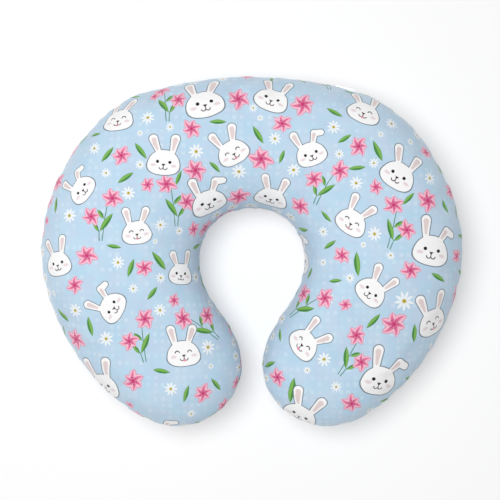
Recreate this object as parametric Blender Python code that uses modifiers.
"""Nursing pillow: a stuffed C-shaped inner pillow in a zip-off cover of two panels.

Units are metres and +Z is up. The pillow lies flat, with its crown towards +Y and its mouth
towards -Y. The origin is on the surface that it lies on, at the middle of its plan.
"""

import math

import bmesh
import bpy
from mathutils import Matrix, Vector

# ---- Pillow ---------------------------------------------------------------------------------
OVERALL_WIDTH = 0.550
OVERALL_DEPTH = 0.456
SIDE_HEIGHT = 0.150  # the fullest place, and the overall height
CROWN_HEIGHT = 0.138
LEG_HEIGHT = 0.128
SEAM_HEIGHT = 0.072
CROWN_WIDTH = 0.171  # from the crown's outer edge to the hole
HOLE_WIDTH = 0.139
LEG_WIDTH = 0.204  # across one leg, level with the mouth
MOUTH_GAP = 0.030
MOUTH_DEPTH = 0.076  # from the leg tips in to the mouth's narrowest place
TIP_SPACING = 0.204  # between the two leg tips
CROWN_RADIUS = 0.480  # of the outer seam where the zip is sewn in

# ---- Cloth, thread and clearances -----------------------------------------------------------
COVER_THICKNESS = 0.0010
CASING_THICKNESS = 0.0006
SEAM_GAP = 0.0010  # between the upper and the lower panel's edges
COVER_THREAD = 0.0010  # diameters
CASING_THREAD = 0.0008
TOPSTITCH_THREAD = 0.0005
TOUCH_GAP = 0.0003  # between pieces that touch
CLOSING_LENGTH = 0.120  # of the hand-closed stretch where the casing was filled

# ---- Zip ------------------------------------------------------------------------------------
ZIP_LENGTH = 0.280  # from stop to stop, along the outer seam
ZIP_END_CLOSING = 0.008  # from a stop to where the panel edges meet again
TAPE_WIDTH = 0.012
TAPE_THICKNESS = 0.0006
TAPE_OVERRUN = 0.006  # past each stop
TAPE_SPACING = 0.0026  # between the two tapes' facing edges
COIL_WIDTH = 0.0022  # of one row
COIL_THICKNESS = 0.0016
COIL_STEP = 0.0030  # between the sections of a row's bar
COIL_PARTING = 0.0020  # along the zip, over which the rows part for the slider's post
COIL_PARTED_AHEAD = 0.0010  # how far ahead of the post they are fully parted
STOP_LENGTH = 0.0022
STOP_HEIGHT = 0.0014  # above the tape
SLIDER_LENGTH = 0.011
SLIDER_WIDTH = 0.009
SLIDER_CLEARANCE = 0.0008  # between the slider and the panel edge on each side
PLATE_THICKNESS = 0.0008
FLANGE_THICKNESS = 0.0006
POST_WIDTH = 0.0020
POST_LENGTH = 0.0032
POST_SETBACK = 0.0008  # from the slider's front end
BRIDGE_LENGTH = 0.0060
BRIDGE_WIDTH = 0.0014
BRIDGE_BAR = 0.0008
TAB_LENGTH = 0.022
TAB_WIDTH = 0.0050
TAB_THICKNESS = 0.0010
TAB_WINDOW = 0.0032  # along the tab, for the bridge
TAB_BAR = 0.0010  # the tab's hinge bar, across the window's end
TAB_CORNER = 0.0010  # radius
GRIP_HOLE = 0.0020  # diameter
TACK_WIDTH = 0.0020
TACK_THICKNESS = 0.0006
TOPSTITCH_OFFSET = 0.0020  # from a panel's edge beside the zip
LABEL_LENGTH = 0.030
LABEL_WIDTH = 0.014
LABEL_THICKNESS = 0.0004

# ---- Shape and fineness ---------------------------------------------------------------------
ROUND = 0.5523  # Bezier handle that turns a quarter ellipse
SHOULDER_TOP = 0.45  # the same, where the outer curve leaves the zip's arc
SHOULDER_SIDE = 0.48  # the same, where it comes upright at the side
HOLE_ROUND = 0.60  # the same for the hole, which is a little squarer
MOUTH_HANDLE = 0.43  # share of the rise from the mouth to the hole's side
OUTER_LEG_HANDLE = 0.36  # share of the drop from the side to level with the mouth
LEG_SLOPE = math.radians(52)  # of the outer curve, level with the mouth
FULLNESS = 2.4  # exponent of the section's superellipse: 2 is an ellipse, more is squarer
PROFILE = [math.radians(a) for a in (0, 10, 26, 44, 64, 90)]  # rings from the seam to the ridge
FLAT_FROM = PROFILE[4]  # the underside is flat from this ring in
ZIP_STEPS = 7
SHOULDER_STEPS = 7
LEG_STEPS = 5
TIP_STEPS = 5
SMOOTH_ANGLE = math.radians(50)

# ---- Derived places -------------------------------------------------------------------------
ZIP_CENTRE_Y = OVERALL_DEPTH / 2 - CROWN_RADIUS
ZIP_HALF_ANGLE = ZIP_LENGTH / 2 / CROWN_RADIUS
CLOSED_ANGLE = ZIP_HALF_ANGLE + ZIP_END_CLOSING / CROWN_RADIUS
SLOT_HEIGHT = SLIDER_WIDTH + 2 * SLIDER_CLEARANCE
EDGE_CURL = CROWN_WIDTH / 2 * (1 - math.cos(PROFILE[1]) ** (2 / FULLNESS))
TAPE_OUTER = CROWN_RADIUS - COVER_THICKNESS - EDGE_CURL - TOUCH_GAP
TAPE_INNER = TAPE_OUTER - TAPE_THICKNESS
COIL_INNER = TAPE_OUTER + TOUCH_GAP
COIL_OUTER = COIL_INNER + COIL_THICKNESS
OUTER_PLATE = COIL_OUTER + TOUCH_GAP  # the outer plate's face towards the coil
INNER_PLATE = TAPE_INNER - TOUCH_GAP  # the inner plate's face towards the tape
CASING_INSET = COVER_THICKNESS + COVER_THREAD + 2 * TOUCH_GAP
CASING_ZIP_INSET = CROWN_RADIUS - INNER_PLATE + PLATE_THICKNESS + TOUCH_GAP
ZIP_ROOM = max(0.0, CASING_ZIP_INSET - CASING_INSET)
FILL_INSET = CASING_INSET + CASING_THICKNESS + CASING_THREAD + 2 * TOUCH_GAP
BRIDGE_ROOM = 1.5 * TAB_BAR + 2 * TOUCH_GAP  # under the bridge, for the hinge bar to turn in
SLIDER_REST_ANGLE = ZIP_HALF_ANGLE - (STOP_LENGTH + TOUCH_GAP + SLIDER_LENGTH / 2) / CROWN_RADIUS


# ---- Scene helpers --------------------------------------------------------------------------
def clear_scene():
    for obj in list(bpy.data.objects):
        bpy.data.objects.remove(obj, do_unlink=True)


def new_collection(name):
    collection = bpy.data.collections.new(name)
    bpy.context.scene.collection.children.link(collection)
    return collection


def material(name, colour, roughness, metallic=0.0):
    made = bpy.data.materials.new(name)
    made.use_nodes = True
    shader = made.node_tree.nodes["Principled BSDF"]
    shader.inputs["Base Color"].default_value = (*colour, 1.0)
    shader.inputs["Roughness"].default_value = roughness
    shader.inputs["Metallic"].default_value = metallic
    return made


def add_object(name, data, collection, finish=None):
    obj = bpy.data.objects.new(name, data)
    collection.objects.link(obj)
    if finish is not None:
        data.materials.append(finish)
    return obj


def mesh_from(bm, name):
    mesh = bpy.data.meshes.new(name)
    bm.to_mesh(mesh)
    bm.free()
    return mesh


def smooth(obj):
    obj.data.shade_smooth()
    obj.data.set_sharp_from_angle(angle=SMOOTH_ANGLE)


# ---- Plan of the pillow ---------------------------------------------------------------------
def bezier(start, start_handle, end_handle, end, steps=60):
    points = []
    for step in range(steps + 1):
        t = step / steps
        u = 1 - t
        points.append(
            start * u**3 + start_handle * 3 * u * u * t + end_handle * 3 * u * t * t + end * t**3
        )
    return points


def lengths_along(path):
    total = [0.0]
    for a, b in zip(path, path[1:]):
        total.append(total[-1] + (b - a).length)
    return total


def at_shares(path, shares):
    """Points on the path, and its directions there, at these shares of its length."""
    lengths = lengths_along(path)
    found = []
    for share in shares:
        target = share * lengths[-1]
        index = max(i for i in range(len(path) - 1) if lengths[i] <= target + 1e-12)
        step = lengths[index + 1] - lengths[index]
        direction = (path[index + 1] - path[index]).normalized()
        found.append((path[index] + direction * min(step, target - lengths[index]), direction))
    return found


def even(steps):
    return [step / steps for step in range(steps + 1)]


def eased(share):
    return share * share * (3 - 2 * share)


def arc_direction(angle):
    """The outline's direction at this angle on the zip's arc."""
    return Vector((math.cos(angle), -math.sin(angle)))


def inward(direction):
    """The outline runs clockwise, so the pillow lies on its right."""
    return Vector((direction.y, -direction.x))


def right_outline():
    """The right half's outline, clockwise, as its curves from the end of the zip's stretch."""
    side = Vector((OVERALL_WIDTH / 2, 0))
    tip = Vector((TIP_SPACING / 2, -OVERALL_DEPTH / 2))
    mouth = Vector((MOUTH_GAP / 2, -OVERALL_DEPTH / 2 + MOUTH_DEPTH))
    leg = Vector((MOUTH_GAP / 2 + LEG_WIDTH, mouth.y))
    hole_top = Vector((0, OVERALL_DEPTH / 2 - CROWN_WIDTH))
    hole_side = Vector((HOLE_WIDTH / 2, hole_top.y - HOLE_WIDTH / 2))
    arc_end = zip_point(CLOSED_ANGLE, CROWN_RADIUS).xy
    leg_direction = Vector((-math.cos(LEG_SLOPE), -math.sin(LEG_SLOPE)))
    leg_reach = OUTER_LEG_HANDLE * (side.y - leg.y)
    tip_reach = ROUND * (leg.y - tip.y)
    rise = Vector((0, MOUTH_HANDLE * (hole_side.y - mouth.y)))
    return {
        "shoulder": bezier(
            arc_end,
            arc_end + arc_direction(CLOSED_ANGLE) * SHOULDER_TOP * (side.x - arc_end.x),
            side + Vector((0, SHOULDER_SIDE * (arc_end.y - side.y))),
            side,
        ),
        "outer leg": bezier(
            side, side - Vector((0, leg_reach)), leg - leg_direction * leg_reach, leg
        ),
        "outer tip": bezier(
            leg, leg + leg_direction * tip_reach, tip + Vector((tip_reach, 0)), tip
        ),
        "inner tip": bezier(
            tip,
            tip - Vector((ROUND * (tip.x - mouth.x), 0)),
            mouth - Vector((0, ROUND * (mouth.y - tip.y))),
            mouth,
        ),
        "inner leg": bezier(mouth, mouth + rise, hole_side - rise, hole_side),
        "hole": bezier(
            hole_side,
            hole_side + Vector((0, HOLE_ROUND * (hole_top.y - hole_side.y))),
            hole_top + Vector((HOLE_ROUND * hole_side.x, 0)),
            hole_top,
        ),
    }


def column(place, ridge, height, in_zip_room=False, in_zip=False):
    """A section's edge point, inward normal, ridge point and height, and its place in the zip."""
    edge, direction = place
    return {
        "edge": edge,
        "normal": inward(direction),
        "ridge": ridge,
        "height": height,
        "in_zip_room": in_zip_room,
        "in_zip": in_zip,
    }


def plan():
    """The right half's columns, clockwise from the crown's outer edge round to the hole.

    Outer and inner columns come in pairs with a ridge point midway between them, and the leg's
    end is a fan about the last pair's. The left half is the mirror image.
    """
    curves = right_outline()
    shoulder_length = lengths_along(curves["shoulder"])[-1]
    arc_length = CLOSED_ANGLE * CROWN_RADIUS
    crown_length = arc_length + shoulder_length
    arc_angles = [ZIP_HALF_ANGLE * share for share in even(ZIP_STEPS)] + [CLOSED_ANGLE]
    crown_places = [(zip_point(a, CROWN_RADIUS).xy, arc_direction(a)) for a in arc_angles]
    crown_places += at_shares(curves["shoulder"], even(SHOULDER_STEPS)[1:])
    crown_shares = [angle * CROWN_RADIUS / crown_length for angle in arc_angles]
    for share in even(SHOULDER_STEPS)[1:]:
        crown_shares.append((arc_length + share * shoulder_length) / crown_length)
    hole_places = at_shares(curves["hole"], [1 - share for share in crown_shares])
    leg_places = at_shares(curves["outer leg"], even(LEG_STEPS))
    mouth_places = at_shares(curves["inner leg"], [1 - share for share in even(LEG_STEPS)])
    tip_places = at_shares(curves["outer tip"], even(TIP_STEPS))
    tip_places += at_shares(curves["inner tip"], even(TIP_STEPS))[1:]

    outers = []
    inners = []
    for index, share in enumerate(crown_shares):
        height = CROWN_HEIGHT + (SIDE_HEIGHT - CROWN_HEIGHT) * eased(share)
        ridge = (crown_places[index][0] + hole_places[index][0]) / 2
        in_zip_room = index < len(arc_angles)
        in_zip = index <= ZIP_STEPS
        outers.append(column(crown_places[index], ridge, height, in_zip_room, in_zip))
        inners.append(column(hole_places[index], ridge, height))
    for index, share in enumerate(even(LEG_STEPS)[1:], start=1):
        height = SIDE_HEIGHT + (LEG_HEIGHT - SIDE_HEIGHT) * eased(share)
        ridge = (leg_places[index][0] + mouth_places[index][0]) / 2
        outers.append(column(leg_places[index], ridge, height))
        inners.append(column(mouth_places[index], ridge, height))
    tips = [column(place, ridge, LEG_HEIGHT) for place in tip_places[1:-1]]
    columns = outers + tips + inners[::-1]
    columns[0]["normal"] = Vector((0, -1))
    columns[-1]["normal"] = Vector((0, 1))
    return columns


def edge_at(place, inset, with_zip_room=True):
    """A column's edge point, moved in by the inset and by the zip's room."""
    room = ZIP_ROOM if with_zip_room and place["in_zip_room"] else 0.0
    return place["edge"] + place["normal"] * (inset + room)


def loop_round(columns, inset, first, with_zip_room):
    """Points inside the seam, from column first on the right, round the mouth, to its mirror."""
    right = [edge_at(place, inset, with_zip_room) for place in columns[first:]]
    left = [Vector((-point.x, point.y)) for point in reversed(right[:-1])]
    return [Vector((point.x, point.y, SEAM_HEIGHT)) for point in right + left]


# ---- Pillow solids --------------------------------------------------------------------------
def section_point(place, angle, inset, with_zip_room, is_top, edge_rise):
    """A point of the section, from the seam at angle 0 to the ridge at a quarter turn."""
    across = math.cos(angle) ** (2 / FULLNESS) if angle < math.pi / 2 else 0.0
    up = math.sin(angle) ** (2 / FULLNESS)
    edge = edge_at(place, inset, with_zip_room)
    point = place["ridge"] + (edge - place["ridge"]) * across
    if is_top:
        rise = max(edge_rise, (place["height"] - inset - SEAM_HEIGHT) * up)
    else:
        full = math.sin(FLAT_FROM) ** (2 / FULLNESS)
        rise = -max(edge_rise, (SEAM_HEIGHT - inset) * min(1.0, up / full))
    return Vector((point.x, point.y, SEAM_HEIGHT + rise))


def add_half_surface(bm, columns, inset, is_top, is_panel, with_zip_room):
    """One half of the top or the bottom surface, open at the mirror plane and at the seam."""
    ridges = {}
    rows = []
    for place in columns:
        if not is_panel:
            edge_rise = 0.0
        elif place["in_zip"] and not with_zip_room:
            edge_rise = SLOT_HEIGHT / 2
        else:
            edge_rise = SEAM_GAP / 2
        row = []
        for angle in PROFILE:
            point = section_point(place, angle, inset, with_zip_room, is_top, edge_rise)
            if angle == PROFILE[-1]:
                key = tuple(round(value, 7) for value in point)
                if key not in ridges:
                    ridges[key] = bm.verts.new(point)
                row.append(ridges[key])
            else:
                row.append(bm.verts.new(point))
        rows.append(row)
    for a, b in zip(rows, rows[1:]):
        for ring in range(len(PROFILE) - 1):
            corners = [a[ring], b[ring], b[ring + 1], a[ring + 1]]
            if corners[2] is corners[3]:
                corners.pop()
            bm.faces.new(reversed(corners) if is_top else corners)


def add_mirror(obj):
    mirror = obj.modifiers.new("other half", "MIRROR")
    mirror.use_clip = True
    mirror.merge_threshold = 0.0001


def make_panel(name, columns, inset, thickness, is_top, with_zip_room, collection, finish):
    bm = bmesh.new()
    add_half_surface(bm, columns, inset, is_top, True, with_zip_room)
    obj = add_object(name, mesh_from(bm, name), collection, finish)
    add_mirror(obj)
    shell = obj.modifiers.new("cloth", "SOLIDIFY")
    shell.thickness = thickness
    shell.offset = -1.0
    smooth(obj)
    return obj


def make_fill(columns, collection, finish):
    bm = bmesh.new()
    add_half_surface(bm, columns, FILL_INSET, True, False, True)
    add_half_surface(bm, columns, FILL_INSET, False, False, True)
    bmesh.ops.remove_doubles(bm, verts=bm.verts, dist=1e-6)
    obj = add_object("fibre_fill", mesh_from(bm, "fibre_fill"), collection, finish)
    add_mirror(obj)
    smooth(obj)
    return obj


def make_thread(name, points, diameter, collection, finish):
    curve = bpy.data.curves.new(name, "CURVE")
    curve.dimensions = "3D"
    curve.bevel_depth = diameter / 2
    curve.bevel_resolution = 0
    curve.use_fill_caps = True
    spline = curve.splines.new("POLY")
    spline.points.add(len(points) - 1)
    for place, point in zip(spline.points, points):
        place.co = (*point, 1.0)
    return add_object(name, curve, collection, finish)


# ---- Zip solids -----------------------------------------------------------------------------
def zip_point(angle, radius, height=SEAM_HEIGHT):
    """A point on the zip's arc: the angle is from +Y towards +X, about the arc's centre."""
    return Vector((radius * math.sin(angle), ZIP_CENTRE_Y + radius * math.cos(angle), height))


def swept_bar(name, start, end, steps, radii, heights, collection, finish, shift=None):
    """A bar of rectangular section, spun about the zip arc's centre from one angle to another."""
    bm = bmesh.new()
    corners = []
    for radius, height in ((0, 0), (1, 0), (1, 1), (0, 1)):
        point = zip_point(start, radii[radius], SEAM_HEIGHT + heights[height])
        corners.append(bm.verts.new(point))
    face = bm.faces.new(corners)
    bmesh.ops.spin(
        bm,
        geom=[face, *face.edges, *face.verts],
        cent=(0, ZIP_CENTRE_Y, 0),
        axis=(0, 0, -1),
        angle=end - start,
        steps=steps,
    )
    if shift is not None:
        for vert in bm.verts:
            vert.co.z += shift(math.atan2(vert.co.x, vert.co.y - ZIP_CENTRE_Y))
    bmesh.ops.recalc_face_normals(bm, faces=bm.faces)
    return add_object(name, mesh_from(bm, name), collection, finish)


def coil_spread(angle):
    """How far a coil row moves off the closed line: it parts round the slider's post."""
    post_rear = SLIDER_LENGTH / 2 - POST_SETBACK - POST_LENGTH
    parted = SLIDER_REST_ANGLE + (post_rear - COIL_PARTED_AHEAD) / CROWN_RADIUS
    share = (angle - parted) * CROWN_RADIUS / COIL_PARTING + 1
    return (POST_WIDTH + TOUCH_GAP) / 2 * min(1.0, max(0.0, share))


def box(name, low, high, collection, finish=None):
    """A box between two corners, in the object's own axes."""
    bm = bmesh.new()
    size = Vector(high) - Vector(low)
    place = Matrix.Translation((Vector(low) + Vector(high)) / 2) @ Matrix.Diagonal((*size, 1.0))
    bmesh.ops.create_cube(bm, size=1.0, matrix=place)
    return add_object(name, mesh_from(bm, name), collection, finish)


def at_angle(obj, angle):
    """Puts an object, modelled as if at the crown's middle, at its angle on the zip's arc."""
    obj.location = (0, ZIP_CENTRE_Y, SEAM_HEIGHT)
    obj.rotation_euler = (0, 0, -angle)
    return obj


def join_to(obj, other):
    """Boolean union with a helper box that takes the object's own place."""
    other.hide_render = True
    other.display_type = "WIRE"
    other.parent = obj
    union = obj.modifiers.new("with " + other.name, "BOOLEAN")
    union.operation = "UNION"
    union.solver = "EXACT"
    union.object = other


def make_tapes(parts, cloth):
    end = ZIP_HALF_ANGLE + TAPE_OVERRUN / CROWN_RADIUS
    radii = (TAPE_INNER, TAPE_OUTER)
    low, high = TAPE_SPACING / 2, TAPE_SPACING / 2 + TAPE_WIDTH
    steps = 2 * ZIP_STEPS
    swept_bar("zip_tape_upper", -end, end, steps, radii, (low, high), parts, cloth)
    swept_bar("zip_tape_lower", -end, end, steps, radii, (-high, -low), parts, cloth)


def make_coils(parts, nylon):
    gap = (STOP_LENGTH + TOUCH_GAP) / CROWN_RADIUS
    start, end = gap - ZIP_HALF_ANGLE, ZIP_HALF_ANGLE - gap
    radii = (COIL_INNER, COIL_OUTER)
    low, high = TOUCH_GAP / 2, TOUCH_GAP / 2 + COIL_WIDTH
    steps = round((end - start) * CROWN_RADIUS / COIL_STEP)

    def down(angle):
        return -coil_spread(angle)

    upper = (low, high)
    lower = (-high, -low)
    swept_bar("zip_coil_upper", start, end, steps, radii, upper, parts, nylon, coil_spread)
    swept_bar("zip_coil_lower", start, end, steps, radii, lower, parts, nylon, down)


def make_stops(parts, metal):
    length = STOP_LENGTH / 2
    low, high = COIL_INNER, COIL_INNER + STOP_HEIGHT
    near, far = TAPE_SPACING / 2, TAPE_SPACING / 2 + COIL_WIDTH
    angle = ZIP_HALF_ANGLE - length / CROWN_RADIUS
    upper = box("zip_top_stop_upper", (-length, low, near), (length, high, far), parts, metal)
    lower = box("zip_top_stop_lower", (-length, low, -far), (length, high, -near), parts, metal)
    bottom = box("zip_bottom_stop", (-length, low, -far), (length, high, far), parts, metal)
    at_angle(upper, angle)
    at_angle(lower, angle)
    at_angle(bottom, -angle)


def make_slider(parts, helpers, metal):
    """Two plates, the post between them, two flanges that hold the coil, and the bridge."""
    half = SLIDER_LENGTH / 2
    wide = SLIDER_WIDTH / 2
    top = OUTER_PLATE + PLATE_THICKNESS
    slider = box("zip_slider_body", (-half, OUTER_PLATE, -wide), (half, top, wide), parts, metal)
    base = INNER_PLATE - PLATE_THICKNESS
    sunk = PLATE_THICKNESS / 2
    post_end = half - POST_SETBACK
    leg = BRIDGE_LENGTH / 2
    bridge_top = top + BRIDGE_ROOM
    slot = TAPE_OUTER + TOUCH_GAP
    thick = BRIDGE_WIDTH / 2
    boxes = {
        "slider inner plate": ((-half, base, -wide), (half, INNER_PLATE, wide)),
        "slider post": (
            (post_end - POST_LENGTH, INNER_PLATE - sunk, -POST_WIDTH / 2),
            (post_end, OUTER_PLATE + sunk, POST_WIDTH / 2),
        ),
        "slider upper flange": (
            (-half, slot, wide - FLANGE_THICKNESS),
            (half, OUTER_PLATE + sunk, wide),
        ),
        "slider lower flange": (
            (-half, slot, -wide),
            (half, OUTER_PLATE + sunk, FLANGE_THICKNESS - wide),
        ),
        "bridge rear leg": ((-leg, top - sunk, -thick), (-leg + BRIDGE_BAR, bridge_top, thick)),
        "bridge front leg": ((leg - BRIDGE_BAR, top - sunk, -thick), (leg, bridge_top, thick)),
        "bridge bar": ((-leg, bridge_top - sunk, -thick), (leg, bridge_top + BRIDGE_BAR, thick)),
    }
    for name, (low, high) in boxes.items():
        join_to(slider, box(name, low, high, helpers))
    return at_angle(slider, SLIDER_REST_ANGLE)


def rounded_outline(low, high, radius, steps=4):
    """Corners of a rectangle with round corners, anticlockwise."""
    points = []
    corners = (
        (high[0] - radius, high[1] - radius, 0),
        (low[0] + radius, high[1] - radius, 1),
        (low[0] + radius, low[1] + radius, 2),
        (high[0] - radius, low[1] + radius, 3),
    )
    for x, y, quarter in corners:
        for step in range(steps + 1):
            angle = (quarter + step / steps) * math.pi / 2
            points.append((x + radius * math.cos(angle), y + radius * math.sin(angle)))
    return points


def make_pull_tab(slider, parts, metal):
    """A flat tab with a window for the bridge. Its origin is in its hinge bar."""
    curve = bpy.data.curves.new("zip_pull_tab", "CURVE")
    curve.dimensions = "2D"
    curve.fill_mode = "BOTH"
    curve.extrude = TAB_THICKNESS / 2
    bar = TAB_BAR / 2
    arm = BRIDGE_WIDTH / 2 + TOUCH_GAP
    reach = TAB_LENGTH - bar
    grip = reach - TAB_WIDTH / 2
    hole = GRIP_HOLE / 2
    outlines = (
        rounded_outline((-reach, -TAB_WIDTH / 2), (bar, TAB_WIDTH / 2), TAB_CORNER),
        rounded_outline((-bar - TAB_WINDOW, -arm), (-bar, arm), TOUCH_GAP),
        rounded_outline((-grip - hole, -hole), (-grip + hole, hole), hole),
    )
    for outline in outlines:
        spline = curve.splines.new("POLY")
        spline.points.add(len(outline) - 1)
        spline.use_cyclic_u = True
        for place, point in zip(spline.points, outline):
            place.co = (*point, 0.0, 1.0)
    tab = add_object("zip_pull_tab", curve, parts, metal)
    tab.parent = slider
    tab.location = (0, OUTER_PLATE + PLATE_THICKNESS + BRIDGE_ROOM / 2, 0)
    tab.rotation_euler = (math.pi / 2, 0, 0)
    return tab


def make_zip_sewing(parts, thread, label_cloth):
    radius = CROWN_RADIUS + TOUCH_GAP + TOPSTITCH_THREAD / 2
    offset = SLOT_HEIGHT / 2 + TOPSTITCH_OFFSET
    angles = [ZIP_HALF_ANGLE * (2 * share - 1) for share in even(2 * ZIP_STEPS)]
    for name, side in (("zip_topstitch_upper", 1), ("zip_topstitch_lower", -1)):
        points = [zip_point(angle, radius, SEAM_HEIGHT + side * offset) for angle in angles]
        make_thread(name, points, TOPSTITCH_THREAD, parts, thread)
    low, high = CROWN_RADIUS + TOUCH_GAP, CROWN_RADIUS + TOUCH_GAP + TACK_THICKNESS
    half = TACK_WIDTH / 2
    for name, side in (("zip_end_tack_left", -1), ("zip_end_tack_right", 1)):
        tack = box(name, (-half, low, -offset), (half, high, offset), parts, thread)
        at_angle(tack, side * (ZIP_HALF_ANGLE + ZIP_END_CLOSING / 2 / CROWN_RADIUS))
    outer = TAPE_INNER - TOUCH_GAP
    top = -(SLOT_HEIGHT / 2 + TOUCH_GAP)
    half_angle = LABEL_LENGTH / 2 / CROWN_RADIUS
    swept_bar(
        "care_label",
        -half_angle,
        half_angle,
        4,
        (outer - LABEL_THICKNESS, outer),
        (top - LABEL_WIDTH, top),
        parts,
        label_cloth,
    )


def main():
    clear_scene()
    parts = new_collection("nursing_pillow")
    helpers = new_collection("helpers")
    print_cloth = material("printed cover cloth", (0.62, 0.78, 0.90), 0.85)
    white_cloth = material("white casing cloth", (0.90, 0.90, 0.88), 0.90)
    fibre = material("fibre fill", (0.94, 0.94, 0.93), 1.00)
    thread = material("thread", (0.86, 0.90, 0.94), 0.70)
    tape = material("zip tape", (0.72, 0.84, 0.92), 0.80)
    nylon = material("zip coil", (0.80, 0.88, 0.93), 0.40)
    metal = material("zip metal", (0.70, 0.71, 0.73), 0.35, 1.0)
    label = material("label cloth", (0.95, 0.95, 0.94), 0.75)

    columns = plan()
    cover = (0.0, COVER_THICKNESS)
    casing = (CASING_INSET, CASING_THICKNESS)
    make_panel("cover_top_panel", columns, *cover, True, False, parts, print_cloth)
    make_panel("cover_bottom_panel", columns, *cover, False, False, parts, print_cloth)
    make_panel("casing_top_panel", columns, *casing, True, True, parts, white_cloth)
    make_panel("casing_bottom_panel", columns, *casing, False, True, parts, white_cloth)
    make_fill(columns, parts, fibre)

    inset = COVER_THICKNESS + TOUCH_GAP + COVER_THREAD / 2
    seam = loop_round(columns, inset, ZIP_STEPS + 1, False)
    make_thread("cover_seam_thread", seam, COVER_THREAD, parts, thread)
    inset = CASING_INSET + CASING_THICKNESS + TOUCH_GAP + CASING_THREAD / 2
    closing_steps = round(CLOSING_LENGTH / 2 / (ZIP_LENGTH / 2 / ZIP_STEPS))
    seam = loop_round(columns, inset, closing_steps + 1, True)
    make_thread("casing_seam_thread", seam, CASING_THREAD, parts, thread)
    radius = CROWN_RADIUS - inset - ZIP_ROOM
    reach = CLOSING_LENGTH / 2 / CROWN_RADIUS
    angles = [reach * (2 * share - 1) for share in even(2 * closing_steps)]
    closing = [zip_point(angle, radius) for angle in angles]
    make_thread("casing_closing_stitch", closing, CASING_THREAD, parts, thread)

    make_tapes(parts, tape)
    make_coils(parts, nylon)
    make_stops(parts, metal)
    slider = make_slider(parts, helpers, metal)
    make_pull_tab(slider, parts, metal)
    make_zip_sewing(parts, thread, label)


main()
